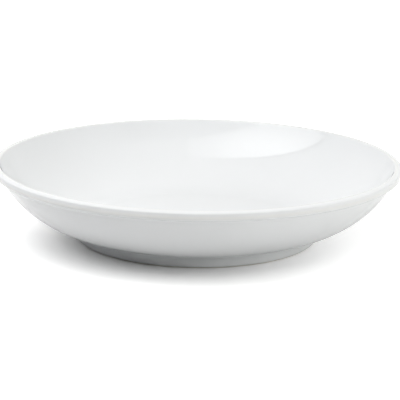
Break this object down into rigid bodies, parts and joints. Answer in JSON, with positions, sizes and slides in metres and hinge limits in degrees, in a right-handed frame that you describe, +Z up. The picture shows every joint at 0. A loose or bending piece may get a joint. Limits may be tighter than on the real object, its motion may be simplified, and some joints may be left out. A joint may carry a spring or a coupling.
{
  "type": "deep plate",
  "caption": "White porcelain coupe deep plate: flat well, curved wall, thin rolled rim and a foot ring that stands on a bare edge.",
  "frame": {"origin": "centre of the circle that the foot ring stands on, at the height of the table", "axes": "+Z up, out of the well; the plate is turned about it, so X and Y are any two directions across the rim"},
  "size_m": [0.24, 0.24, 0.0454],
  "materials": {
    "porcelain": "dense fired porcelain, covered by glaze",
    "foot_porcelain": "dense fired porcelain, bare and finely ground at the standing edge",
    "glaze": "smooth high-gloss white glaze",
    "underside_glaze": "smooth gloss white glaze"
  },
  "bodies": {
    "root": {"porcelain_body": "porcelain", "foot_ring": "foot_porcelain", "glaze_coat": "glaze", "underside_glaze": "underside_glaze"}
  },
  "joints": []
}
